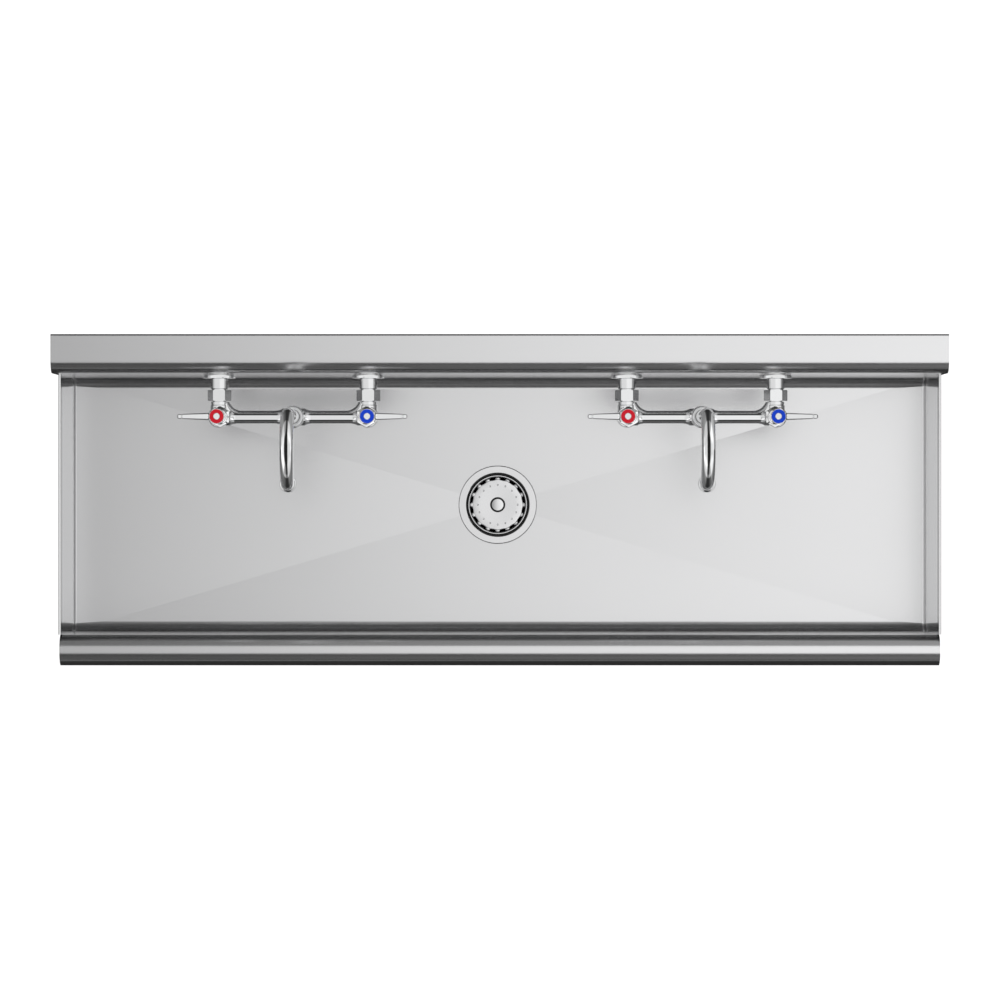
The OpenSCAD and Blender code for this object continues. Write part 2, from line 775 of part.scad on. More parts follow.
// Shanks through the splash, with the collar in front and the supply thread behind
module supply_shanks(fx) {
    collar_r = collar_d / 2;
    bore_r = bar_bore_r + 1.5;
    tail_z = -sheet_t - shank_tail;
    step_z = -sheet_t - locknut_t;
    color("silver") at_inlets(fx) turned([
        [bore_r, tail_z], [shank_d / 2 - 1, tail_z], [shank_d / 2, tail_z + 1], [shank_d / 2, step_z],
        [thread_r, step_z], [thread_r, flange_t], [collar_r - 0.8, flange_t], [collar_r, flange_t + 0.8],
        [collar_r, collar_end - 1.2], [collar_r - 1.2, collar_end], [thread_r, collar_end],
        [thread_r, shank_tip], [bore_r, shank_tip]
    ]);
}

// Locknuts behind the splash
module shank_locknuts(fx) {
    color("gray") at_inlets(fx) difference() {
        hex_prism(locknut_af, -sheet_t - locknut_t, -sheet_t);
        translate([0, 0, -sheet_t - locknut_t - cut])
            cylinder(r = thread_r + run_gap, h = locknut_t + 2 * cut);
    }
}

// Union nuts that pull the body against the shanks
module coupling_nuts(fx) {
    color("silver") at_inlets(fx) difference() {
        hex_prism(nut_af, nut_start, nut_end);
        translate([0, 0, nut_start - cut]) cylinder(r = thread_r + run_gap, h = lip_front - nut_start + cut);
        translate([0, 0, nut_start]) cylinder(r = tail_r + free_gap, h = nut_len + cut);
    }
}

// Flat washers in the unions
module coupling_washers(fx) {
    color("black") at_inlets(fx) ring(thread_r - 0.4, bar_bore_r + 1, shank_tip, shank_tip + seal_t);
}

// Bonnets screwed into the valve housings
module bonnets(fx) {
    color("silver") at_faucet(fx) for (inlet = inlets) translate([inlet, 0, 0]) difference() {
        union() {
            rotate(30) hex_prism(bonnet_af, valve_top, valve_top + bonnet_hex_h);
            translate([0, 0, valve_top - 12]) cylinder(r = socket_r - run_gap, h = 12);
            turned([
                [0, valve_top], [bonnet_neck_r, valve_top], [bonnet_neck_r, bonnet_top - 1],
                [bonnet_neck_r - 1, bonnet_top], [0, bonnet_top]
            ]);
        }
        translate([0, 0, valve_top - 13]) cylinder(r = stem_r + run_gap, h = bonnet_top - valve_top + 14);
    }
}

// Stem and cartridge of one valve
module valve_stem(fx, inlet) {
    cartridge_top = valve_top - 12 - 0.3;
    color("goldenrod") at_faucet(fx) translate([inlet, 0, 0]) difference() {
        turned([
            [0, socket_z + 0.4], [socket_r - free_gap, socket_z + 0.4], [socket_r - free_gap, cartridge_top],
            [stem_r, cartridge_top], [stem_r, stem_shoulder], [stem_tip_r, stem_shoulder],
            [stem_tip_r, stem_top], [0, stem_top]
        ]);
        translate([0, 0, stem_top - screw_len + web_t])
            cylinder(r = screw_thread_r + run_gap, h = screw_len);
        rotate([90, 0, 0]) cylinder(r = bar_bore_r - 1.4, h = 4 * socket_r, center = true);
    }
}

// Lever handle: turned hub with a seat for the index ring, and a tapered lever
module lever_handle(fx, inlet, turn) {
    hub = handle_d / 2;
    root = lever_root_d / 2;
    tip = lever_tip_d / 2;
    bead = lever_len - 7.5;
    groove = tip - 0.7;
    color("silver") at_faucet(fx) translate([inlet, 0, 0]) rotate(turn) difference() {
        union() {
            turned([
                [0, handle_z], [hub - 1, handle_z], [hub, handle_z + 1], [hub, handle_top - 1.4],
                [hub - 0.4, handle_top - 0.8], [0, handle_top - 0.8]
            ]);
            translate([0, 0, lever_z]) rotate([0, 90, 0]) rotate_extrude() {
                polygon([
                    [0, 0], [root, 0], [root, hub + 4], [tip + 0.4, bead], [groove, bead + 0.5],
                    [groove, bead + 1.3], [tip, bead + 1.8], [tip, lever_len - tip], [0, lever_len - tip]
                ]);
                translate([0, lever_len - tip]) intersection() {
                    circle(r = tip);
                    square(tip);
                }
                difference() {
                    translate([0, hub - 1]) square([root + 3, 4]);
                    translate([root + 3, hub + 3]) circle(r = 3);
                }
            }
        }
        translate([0, 0, handle_z - cut]) cylinder(r = stem_r + free_gap, h = stem_shoulder - handle_z + cut);
        translate([0, 0, handle_z]) cylinder(r = stem_tip_r + run_gap, h = stem_top - handle_z);
        translate([0, 0, stem_top - cut]) cylinder(r = screw_thread_r + free_gap, h = web_t + 2 * cut);
        translate([0, 0, index_z]) cylinder(r = index_d / 2 + run_gap, h = index_t + 2 * cut);
    }
}

// Coloured ring let into the top of a handle
module index_ring(fx, inlet, hue) {
    color(hue) at_faucet(fx) translate([inlet, 0, 0])
        ring(index_d / 2, screw_d / 2 + run_gap, index_z, index_z + index_t + 0.4);
}

// Screw that holds a handle on its stem
module handle_screw(fx, inlet) {
    head_r = screw_d / 2;
    head_top = index_z + index_t + 0.8;
    slot_w = 1.4;
    color("silver") at_faucet(fx) translate([inlet, 0, 0]) difference() {
        turned([
            [0, index_z - screw_len + 1], [screw_thread_r, index_z - screw_len + 1], [screw_thread_r, index_z],
            [head_r, index_z], [head_r, head_top - 0.7], [head_r - 0.8, head_top], [0, head_top]
        ]);
        for (turn = [45, 135]) rotate(turn)
            translate([-head_r * 0.55, -slot_w / 2, head_top - 1.2]) cube([head_r * 1.1, slot_w, 2]);
    }
}

// Round nut that keeps the spout in the hub
module spout_nut(fx) {
    nut_r = spout_nut_d / 2;
    foot = hub_shoulder + 0.6;
    color("silver") at_faucet(fx) difference() {
        translate([0, 0, foot]) rotate_extrude() soft_corner(nut_r, spout_nut_top - foot, 1.4);
        translate([0, 0, foot - cut]) cylinder(r = hub_thread_r + run_gap, h = spout_cavity_top - foot + cut);
        translate([0, 0, foot]) cylinder(r = tube_r + free_gap, h = spout_nut_top);
    }
}

// Gooseneck tube, with the flange that the nut keeps down
module spout(fx) {
    bore_r = tube_r - tube_wall;
    outlet_z = bend_z - outlet_drop;
    color("silver") at_faucet(fx) {
        ring(tube_r, bore_r, spout_tail_z, bend_z);
        ring(spout_collar_r, tube_r - tube_wall / 2, spout_collar_z, spout_collar_z + spout_collar_t);
        translate([0, -bend_r, bend_z]) rotate([90, 0, 90]) rotate_extrude(angle = 180)
            translate([bend_r, 0]) difference() {
                circle(r = tube_r);
                circle(r = bore_r);
            }
        translate([0, -spout_reach, 0]) ring(tube_r, bore_r, outlet_z, bend_z);
    }
}

// Sealing ring on the flange of the spout
module spout_seal(fx) {
    color("black") at_faucet(fx)
        ring(hub_thread_r - 0.3, tube_r + run_gap, spout_seal_z, spout_seal_z + spout_seal_t);
}

// Aerator on the outlet, with a pierced screen
module aerator(fx) {
    outer = aerator_d / 2;
    top = bend_z - outlet_drop + aerator_over;
    foot = top - aerator_len;
    bore_r = tube_r - tube_wall;
    screen_z = 2;
    screen_t = 2;
    rows = 3;
    color("silver") at_faucet(fx) translate([0, -spout_reach, foot]) difference() {
        rotate_extrude() difference() {
            soft_corner(outer, aerator_len, outer - tube_r - run_gap);
            square([bore_r, screen_z]);
            translate([0, screen_z + screen_t]) square([bore_r, aerator_len]);
            translate([0, aerator_len - aerator_over]) square([tube_r + run_gap, aerator_over + cut]);
        }
        for (row = [0 : rows - 1], i = [0 : max(row * 6 - 1, 0)])
            rotate(i * 60 / max(row, 1)) translate([row * bore_r / rows, 0, 0])
                cylinder(r = 0.9, h = 6);
    }
}

trough_pan();
end_panel(-1);  // end_panel_left
end_panel(1);  // end_panel_right
splash_end(-1);  // splash_end_left
splash_end(1);  // splash_end_right
rim_cap(-1);  // rim_cap_left
rim_cap(1);  // rim_cap_right
wall_bracket();

drain_body();
basket_seat();
drain_gasket();
fibre_washer();
drain_locknut();
tailpiece_washer();
tailpiece();
tailpiece_nut();
strainer_basket();
strainer_knob();
knob_ring();
strainer_stopper();

faucet_body(left_x);  // faucet_body_left
wall_flanges(left_x);  // wall_flanges_left
supply_shanks(left_x);  // supply_shanks_left
shank_locknuts(left_x);  // shank_locknuts_left
coupling_nuts(left_x);  // coupling_nuts_left
coupling_washers(left_x);  // coupling_washers_left
bonnets(left_x);  // bonnets_left
valve_stem(left_x, inlets[0]);  // hot_stem_left
valve_stem(left_x, inlets[1]);  // cold_stem_left
lever_handle(left_x, inlets[0], 180);  // hot_handle_left
lever_handle(left_x, inlets[1], 0);  // cold_handle_left
index_ring(left_x, inlets[0], "red");  // hot_index_left
index_ring(left_x, inlets[1], "blue");  // cold_index_left
handle_screw(left_x, inlets[0]);  // hot_screw_left
handle_screw(left_x, inlets[1]);  // cold_screw_left
spout_nut(left_x);  // spout_nut_left
spout(left_x);  // spout_left
spout_seal(left_x);  // spout_seal_left
aerator(left_x);  // aerator_left

faucet_body(right_x);  // faucet_body_right
wall_flanges(right_x);  // wall_flanges_right
supply_shanks(right_x);  // supply_shanks_right
shank_locknuts(right_x);  // shank_locknuts_right
coupling_nuts(right_x);  // coupling_nuts_right
coupling_washers(right_x);  // coupling_washers_right
bonnets(right_x);  // bonnets_right
valve_stem(right_x, inlets[0]);  // hot_stem_right
valve_stem(right_x, inlets[1]);  // cold_stem_right
lever_handle(right_x, inlets[0], 180);  // hot_handle_right
lever_handle(right_x, inlets[1], 0);  // cold_handle_right
index_ring(right_x, inlets[0], "red");  // hot_index_right
index_ring(right_x, inlets[1], "blue");  // cold_index_right
handle_screw(right_x, inlets[0]);  // hot_screw_right
handle_screw(right_x, inlets[1]);  // cold_screw_right
spout_nut(right_x);  // spout_nut_right
spout(right_x);  // spout_right
spout_seal(right_x);  // spout_seal_right
aerator(right_x);  // aerator_right
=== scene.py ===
import json
import math

import bpy
import bmesh
from mathutils import Matrix, Vector

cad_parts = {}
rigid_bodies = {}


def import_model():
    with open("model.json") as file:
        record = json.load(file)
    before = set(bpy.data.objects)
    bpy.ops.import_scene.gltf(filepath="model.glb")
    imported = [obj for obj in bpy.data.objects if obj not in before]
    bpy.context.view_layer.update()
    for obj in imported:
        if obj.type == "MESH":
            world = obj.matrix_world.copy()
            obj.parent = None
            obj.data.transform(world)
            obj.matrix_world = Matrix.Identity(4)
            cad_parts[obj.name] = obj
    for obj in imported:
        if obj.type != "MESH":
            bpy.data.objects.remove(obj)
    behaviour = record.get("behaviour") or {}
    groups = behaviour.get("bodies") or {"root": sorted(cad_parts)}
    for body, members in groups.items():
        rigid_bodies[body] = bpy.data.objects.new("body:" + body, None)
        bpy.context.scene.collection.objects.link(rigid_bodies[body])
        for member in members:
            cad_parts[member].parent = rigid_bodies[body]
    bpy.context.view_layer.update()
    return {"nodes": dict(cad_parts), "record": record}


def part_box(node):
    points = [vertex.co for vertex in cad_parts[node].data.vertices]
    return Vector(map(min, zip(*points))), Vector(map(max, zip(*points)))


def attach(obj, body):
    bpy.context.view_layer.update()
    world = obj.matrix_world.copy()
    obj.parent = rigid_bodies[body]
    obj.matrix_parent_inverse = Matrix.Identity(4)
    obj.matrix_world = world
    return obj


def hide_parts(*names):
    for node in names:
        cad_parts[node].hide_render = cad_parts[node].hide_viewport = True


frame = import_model()
nodes = frame["nodes"]
slotOf = {row["node"]: row["material_slot"] for row in frame["record"]["subparts"]}


def topCentre(node):  # the middle of a node's box in plan, at its top
    low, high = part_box(node)
    return (low[0] + high[0]) / 2, (low[1] + high[1]) / 2, high[2]


class Wire:  # a socket that can be added and multiplied
    def __init__(self, tree, socket):
        self.tree, self.socket = tree, socket

    def __add__(self, other):
        return self.tree.maths("ADD", self, other)

    def __mul__(self, other):
        return self.tree.maths("MULTIPLY", self, other)


class Tree:  # one shader tree, where every node is made the same way
    def __init__(self, tree):
        self.tree = tree
        self.tree.nodes.clear()

    def node(self, kind, settings=None, sockets=None, out=0):
        made = self.tree.nodes.new(kind)
        for name, value in (settings or {}).items():
            if name == "stops":
                self.setStops(made.color_ramp, value)
            else:
                setattr(made, name, value)
        for key, value in (sockets or {}).items():
            if isinstance(value, Wire):
                self.tree.links.new(value.socket, made.inputs[key])
            else:
                made.inputs[key].default_value = value
        return Wire(self, made.outputs[out]) if made.outputs else None

    def setStops(self, ramp, stops):
        while len(ramp.elements) < len(stops):
            ramp.elements.new(0.5)
        for element, (place, level) in zip(ramp.elements, stops):
            element.position = place
            element.color = (level, level, level, 1)

    def maths(self, operation, first, second=0.0):
        return self.node("ShaderNodeMath", {"operation": operation}, {0: first, 1: second})

    def vectorMaths(self, operation, sockets, out="Vector"):
        return self.node("ShaderNodeVectorMath", {"operation": operation}, sockets, out)

    def coords(self, kind="Object"):
        return self.node("ShaderNodeTexCoord", out=kind)

    def parts(self, vector):  # its X, Y and Z
        split = self.node("ShaderNodeSeparateXYZ", {}, {0: vector})
        return [Wire(self, socket) for socket in split.socket.node.outputs]

    def place(self, scale=(1, 1, 1)):  # object coordinates, stretched
        return self.node("ShaderNodeMapping", {}, {"Vector": self.coords(), "Scale": scale})

    def noise(self, vector, scale, detail, roughness):
        return self.node("ShaderNodeTexNoise", {}, {
            "Vector": vector, "Scale": scale, "Detail": detail, "Roughness": roughness})

    def between(self, value, low, high, toLow=0.0, toHigh=1.0):
        return self.node("ShaderNodeMapRange", {}, {
            "Value": value, "From Min": low, "From Max": high, "To Min": toLow, "To Max": toHigh})

    def mixColour(self, factor, first, second, blend="MIX"):  # 6, 7 and 2 are the node's colour sockets
        return self.node("ShaderNodeMix", {"data_type": "RGBA", "blend_type": blend},
                         {0: factor, 6: first, 7: second}, out=2)

    def bump(self, height, strength, distance):
        return self.node("ShaderNodeBump", {}, {"Height": height, "Strength": strength, "Distance": distance})

    def finish(self, sockets):
        shader = self.node("ShaderNodeBsdfPrincipled", {}, sockets)
        self.node("ShaderNodeOutputMaterial", {}, {"Surface": shader})


def newMaterial(name):
    material = bpy.data.materials.new(name)
    material.use_nodes = True
    return material, Tree(material.node_tree)


def shaded(tone, share):  # a colour made lighter or darker
    return (*(min(1, c * share) for c in tone), 1)


# in these dictionaries a noise is its scale, detail and roughness, and toneFrom and roughFrom are the levels
# of noise between which the tone and the roughness change; streaks run along X, since the noise is squeezed
# in the other two directions
brushing = {"squeeze": 110, "streaks": (14, 5, 0.7), "clouds": (2.4, 2, 0.5),
            "cloudsInTone": 0.3, "toneFrom": (0.35, 0.65), "lighter": 1.012, "darker": 0.982,
            "cloudsInRough": 0.4, "roughFrom": (0.3, 0.7), "smoother": 0.015, "rougher": 0.02,
            "bump": 0.1, "bumpDepth": 0.00002}


def brushedSheet(name, tone, rough, paintedHem=None):
    material, tree = newMaterial(name)
    streaks = tree.noise(tree.place((1, brushing["squeeze"], brushing["squeeze"])), *brushing["streaks"])
    clouds = tree.noise(tree.place(), *brushing["clouds"])
    inTone, inRough = brushing["cloudsInTone"], brushing["cloudsInRough"]
    colour = tree.mixColour(tree.between(clouds * inTone + streaks * (1 - inTone), *brushing["toneFrom"]),
                            shaded(tone, brushing["darker"]), shaded(tone, brushing["lighter"]))
    roughness = tree.between(streaks * (1 - inRough) + clouds * inRough, *brushing["roughFrom"],
                             rough - brushing["smoother"], rough + brushing["rougher"])
    if paintedHem:  # painted shade just under the sheet's folded top edge, and a painted highlight on it
        height = tree.parts(tree.coords())[2]
        paintedShadeMask = (tree.between(height, paintedHem["foot"] - paintedHem["footFade"], paintedHem["foot"])
                 * tree.between(height, paintedHem["top"], paintedHem["top"] - paintedHem["topFade"]))
        # painted highlight: the folded top edge made brighter
        paintedHighlightMask = tree.between(height, paintedHem["top"], paintedHem["top"] + paintedHem["edge"])
        colour = tree.mixColour(paintedShadeMask * paintedHem["strength"], colour, (*paintedHem["dark"], 1))
        colour = tree.mixColour(paintedHighlightMask, colour, (*paintedHem["bright"], 1))
    tree.finish({
        "Base Color": colour, "Metallic": 1.0, "Roughness": roughness,
        "Normal": tree.bump(streaks, brushing["bump"], brushing["bumpDepth"]),
    })
    return material


polish = {"haze": (28, 4, 0.55), "specks": (900, 2, 0.5), "darker": 0.96, "roughFrom": (0.35, 0.75),
          "bump": 0.02, "bumpDepth": 0.0001}


def polishedMetal(name, tone, rough, wear, mouthShade=None):
    material, tree = newMaterial(name)
    haze = tree.noise(tree.place(), *polish["haze"])
    specks = tree.noise(tree.place(), *polish["specks"])
    roughness = tree.between(haze, *polish["roughFrom"], rough, rough + wear)
    colour = tree.mixColour(haze, shaded(tone, polish["darker"]), (*tone, 1))
    if mouthShade:  # painted shade down the drain's mouth, where hardly any light gets down it
        across = tree.vectorMaths("SUBTRACT", {0: tree.coords(), 1: mouthShade["centre"]})
        level = tree.vectorMaths("MULTIPLY", {0: across, 1: (1, 1, 0)})
        radius = tree.vectorMaths("LENGTH", {0: level}, "Value")
        depth = tree.parts(across)[2]
        paintedShadeMask = (tree.between(radius, mouthShade["radius"] + mouthShade["edge"], mouthShade["radius"])
                 * tree.between(depth, *mouthShade["start"]) * tree.between(depth, *mouthShade["end"]))
        colour = tree.mixColour(paintedShadeMask * mouthShade["strength"], colour, (*mouthShade["dark"], 1))
    tree.finish({
        "Base Color": colour, "Metallic": 1.0, "Roughness": roughness,
        "Normal": tree.bump(specks, polish["bump"], polish["bumpDepth"]),
    })
    return material


zinc = {"light": (0.58, 0.59, 0.6), "dark": (0.44, 0.45, 0.46), "spangle": 130.0, "haze": (45, 4, 0.6),
        "metallic": 0.9, "roughFrom": (0.3, 0.7), "rough": (0.38, 0.58), "bump": 0.15, "bumpDepth": 0.0003}


def galvanised(name):
    material, tree = newMaterial(name)
    spangle = tree.node("ShaderNodeTexVoronoi", {}, {
        "Vector": tree.place(), "Scale": zinc["spangle"]}, "Color")
    grey = tree.node("ShaderNodeRGBToBW", {}, {0: spangle})
    haze = tree.noise(tree.place(), *zinc["haze"])
    tree.finish({
        "Base Color": tree.mixColour(grey, (*zinc["dark"], 1), (*zinc["light"], 1)),
        "Metallic": zinc["metallic"],
        "Roughness": tree.between(haze, *zinc["roughFrom"], *zinc["rough"]),
        "Normal": tree.bump(haze, zinc["bump"], zinc["bumpDepth"]),
    })
    return material


solid = {"detail": 4, "roughness": 0.6, "darker": 0.8, "roughFrom": (0.3, 0.7), "smoother": 0.04,
         "rougher": 0.05, "bumpDepth": 0.0002}


def plainSolid(name, tone, rough, grain, bump, gloss=0.5):
    material, tree = newMaterial(name)
    fine = tree.noise(tree.place(), grain, solid["detail"], solid["roughness"])
    tree.finish({
        "Base Color": tree.mixColour(fine, shaded(tone, solid["darker"]), (*tone, 1)),
        "Roughness": tree.between(fine, *solid["roughFrom"],
                                  rough - solid["smoother"], rough + solid["rougher"]),
        "Specular IOR Level": gloss,
        "Normal": tree.bump(fine, bump, solid["bumpDepth"]),
    })
    return material


finishes = {
    "stainless_sheet": brushedSheet("brushedStainless", (0.66, 0.66, 0.665), 0.21),
    "polished_stainless": polishedMetal("polishedStainless", (0.68, 0.68, 0.685), 0.08, 0.06),
    "chrome_plate": polishedMetal("chromePlate", (0.86, 0.865, 0.87), 0.03, 0.03),
    "galvanised_steel": galvanised("galvanisedSteel"),
    "raw_brass": polishedMetal("rawBrass", (0.72, 0.55, 0.3), 0.28, 0.15),
    "black_rubber": plainSolid("blackRubber", (0.03, 0.03, 0.032), 0.6, 500, 0.2),
    "red_fibre": plainSolid("redFibre", (0.36, 0.1, 0.06), 0.75, 400, 0.3),
    "white_nylon": plainSolid("whiteNylon", (0.8, 0.79, 0.75), 0.4, 300, 0.08),
    "index_red": plainSolid("indexRed", (0.68, 0.014, 0.03), 0.35, 200, 0.03, 0.12),
    "index_blue": plainSolid("indexBlue", (0.008, 0.06, 0.66), 0.35, 200, 0.03, 0.12),
}

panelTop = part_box("end_panel_left")[1][2]
# painted shade under the end panels' folded top edge, and a painted highlight on it
hemShadeAndHighlight = {"top": panelTop - 0.0024, "foot": panelTop - 0.017, "topFade": 0.001, "footFade": 0.002,
            "edge": 0.0003, "strength": 0.85, "dark": (0.05, 0.05, 0.05), "bright": (0.9, 0.9, 0.905)}
# painted shade inside the drain's mouth, just under the flange top
drainMouthShade = {"centre": topCentre("drain_body"), "radius": 0.0458, "edge": 0.0003,
              "start": (-0.0002, -0.0006), "end": (-0.06, -0.05), "strength": 0.97,
              "dark": (0.004, 0.004, 0.004)}
# nodes of bare metal with one of these names, before their last word, have a look of their own
ownFinish = {
    "drain": polishedMetal("drainMetalPaintedMouthShade", (0.68, 0.68, 0.685), 0.08, 0.06, drainMouthShade),
    "wall_flanges": polishedMetal("flangeChrome", (0.86, 0.865, 0.87), 0.16, 0.05),
    # the end panels: a darker copy of the sheet's tone, painted shade, with the painted hem shade and
    # highlight
    "end_panel": brushedSheet("panelStainlessPaintedShade", (0.58, 0.58, 0.585), 0.12, hemShadeAndHighlight),
    "spout_nut": polishedMetal("satinChrome", (0.84, 0.845, 0.85), 0.26, 0.06),
}
bareMetals = ("polished_stainless", "chrome_plate", "stainless_sheet")
for nodeName, obj in nodes.items():
    look = finishes[slotOf[nodeName]]
    if slotOf[nodeName] in bareMetals:
        look = ownFinish.get(nodeName.rsplit("_", 1)[0], look)
    obj.data.materials.clear()
    obj.data.materials.append(look)
print("finishes on", len(nodes), "nodes")


onAxis = 1e-7  # radius of the tiny ring that closes a turned shape
tinyLength = 1e-6


def turnedRings(profile, steps=96, outline=None):  # rings of points from (radius, height) pairs
    rings = []
    for radius, height in profile:
        ring = []
        for i in range(steps):
            angle = 2 * math.pi * i / steps
            r, h = outline(angle, radius, height) if outline else (radius, height)
            ring.append(Vector((r * math.cos(angle), r * math.sin(angle), h)))
        rings.append(ring)
    return rings


def addRings(bm, rings, place, loop=False):  # skins rings, and closes both ends or joins them in a loop
    rows = [[bm.verts.new(place @ point) for point in ring] for ring in rings]
    count = len(rows[0])
    pairs = list(zip(rows, rows[1:])) + ([(rows[-1], rows[0])] if loop else [])
    for low, high in pairs:
        for i in range(count):
            j = (i + 1) % count
            bm.faces.new((low[i], low[j], high[j], high[i]))
    if not loop:
        bm.faces.new(rows[0])
        bm.faces.new(rows[-1])


def newObject(name, mesh):
    obj = bpy.data.objects.new(name, mesh)
    bpy.context.scene.collection.objects.link(obj)
    return obj


def newPiece(name, bm, finish, smoothUnder=32):  # edges under that many degrees are smooth
    bmesh.ops.remove_doubles(bm, verts=bm.verts, dist=tinyLength)
    bmesh.ops.dissolve_degenerate(bm, edges=bm.edges, dist=tinyLength)
    bmesh.ops.recalc_face_normals(bm, faces=bm.faces)
    for face in bm.faces:
        face.smooth = True
    for edge in bm.edges:
        edge.smooth = len(edge.link_faces) == 2 and edge.calc_face_angle(0) < math.radians(smoothUnder)
    mesh = bpy.data.meshes.new(name)
    bm.to_mesh(mesh)
    bm.free()
    mesh.materials.append(finish)
    return newObject(name, mesh)


class GeoTree:  # a Geometry Nodes tree with named inputs
    def __init__(self, name, inputs):
        self.tree = bpy.data.node_groups.new(name, "GeometryNodeTree")
        self.ids = {}
        for key, kind in {"Geometry": "Geometry", **inputs}.items():
            self.ids[key] = self.newSocket(key, kind, "INPUT").identifier
        self.newSocket("Geometry", "Geometry", "OUTPUT")
        self.given = self.tree.nodes.new("NodeGroupInput").outputs

    def newSocket(self, name, kind, way):
        return self.tree.interface.new_socket(name, in_out=way, socket_type="NodeSocket" + kind)

    def node(self, kind, settings=None, sockets=None):
        made = self.tree.nodes.new(kind)
        for key, value in (settings or {}).items():
            setattr(made, key, value)
        for key, value in (sockets or {}).items():
            if isinstance(value, bpy.types.NodeSocket):
                self.tree.links.new(value, made.inputs[key])
            else:
                made.inputs[key].default_value = value
        return made.outputs[0]

    def moved(self, geometry, offset):
        return self.node("GeometryNodeTransform", {}, {"Geometry": geometry, "Translation": offset})

    def ringOf(self, shape):  # copies of a shape turned round the vertical axis
        count = self.given["Count"]
        points = self.node("GeometryNodePoints", {}, {"Count": count})
        share = self.node("ShaderNodeMath", {"operation": "DIVIDE"},
                          {0: self.node("GeometryNodeInputIndex"), 1: count})
        turn = self.node("ShaderNodeMath", {"operation": "MULTIPLY_ADD"},
                         {0: share, 1: 2 * math.pi, 2: self.given["First angle"]})
        turned = self.node("ShaderNodeCombineXYZ", {}, {"Z": turn})
        return self.node("GeometryNodeInstanceOnPoints", {},
                         {"Points": points, "Instance": shape, "Rotation": turned})

    def finish(self, geometry):
        real = self.node("GeometryNodeRealizeInstances", {}, {"Geometry": geometry})
        coated = self.node("GeometryNodeSetMaterial", {}, {
            "Geometry": real, "Material": self.given["Finish"]})
        end = self.tree.nodes.new("NodeGroupOutput")
        self.tree.links.new(coated, end.inputs[0])


def grown(name, obj, geo, values):  # runs a tree on an object and keeps the result as a plain mesh
    modifier = obj.modifiers.new("grow", "NODES")
    modifier.node_group = geo.tree
    for key, value in values.items():
        modifier[geo.ids[key]] = value
    evaluated = obj.evaluated_get(bpy.context.evaluated_depsgraph_get())
    mesh = bpy.data.meshes.new_from_object(evaluated)
    mesh.name = name
    bpy.data.objects.remove(obj)
    return newObject(name, mesh)


def joinInto(target, others):  # one mesh from several
    bm = bmesh.new()
    for obj in [target] + others:
        bm.from_mesh(obj.data)
    bm.to_mesh(target.data)
    bm.free()
    for obj in others:
        bpy.data.objects.remove(obj)
    return target


# strainer basket: scalloped plate with dimples, domed ribs, thin rolled rim; heights are from the drain's
# top, and an edge's points are how far in from the edge, and how far up from the foot or down from the top
basket = {
    "plateR": 0.0361, "scallop": 0.0004, "scallopWide": 0.002, "plateTop": -0.010, "plateFoot": -0.0122,
    "dish": 0.0006, "dishR": 0.011,
    "footEdge": [(0.0015, 0), (0.0004, 0.0005), (0, 0.0012)],
    "topEdge": [(0.0003, 0.0004), (0.0009, 0.00008), (0.0016, 0)],
    "rimR": 0.0425, "rimIn": 0.0398, "rimTop": -0.0028, "rimFoot": -0.0075, "wallThick": 0.0009,
    "wallFoot": -0.0135, "rimEdge": [(0, 0.0013), (0.0003, 0.0005), (0.0009, 0)],
    "postR": 0.004, "postFoot": -0.034, "postIntoPlate": 0.0001, "steps": 192, "postSteps": 48,
    "ribs": 16, "firstAngle": math.pi / 2, "ribWide": 0.0070, "ribTall": 0.0013, "ribSunk": 0.0008,
    "ribSteps": 13,
    # radius, height and share of the full width, from the plate out to the wall
    "ribPath": [(0.0350, -0.0112, 0.82), (0.0359, -0.0107, 1.0), (0.0369, -0.0104, 1.0),
                (0.0379, -0.0105, 0.98), (0.0387, -0.0109, 0.9), (0.0393, -0.0117, 0.75),
                (0.0396, -0.0127, 0.6), (0.0401, -0.0133, 0.6)],
    "dimpleRing": 0.0284, "dimpleR": 0.0026, "dimpleDepth": 0.0004, "dimpleClear": 0.0002,
    "dimpleSides": 20, "dimpleRings": 14,
}


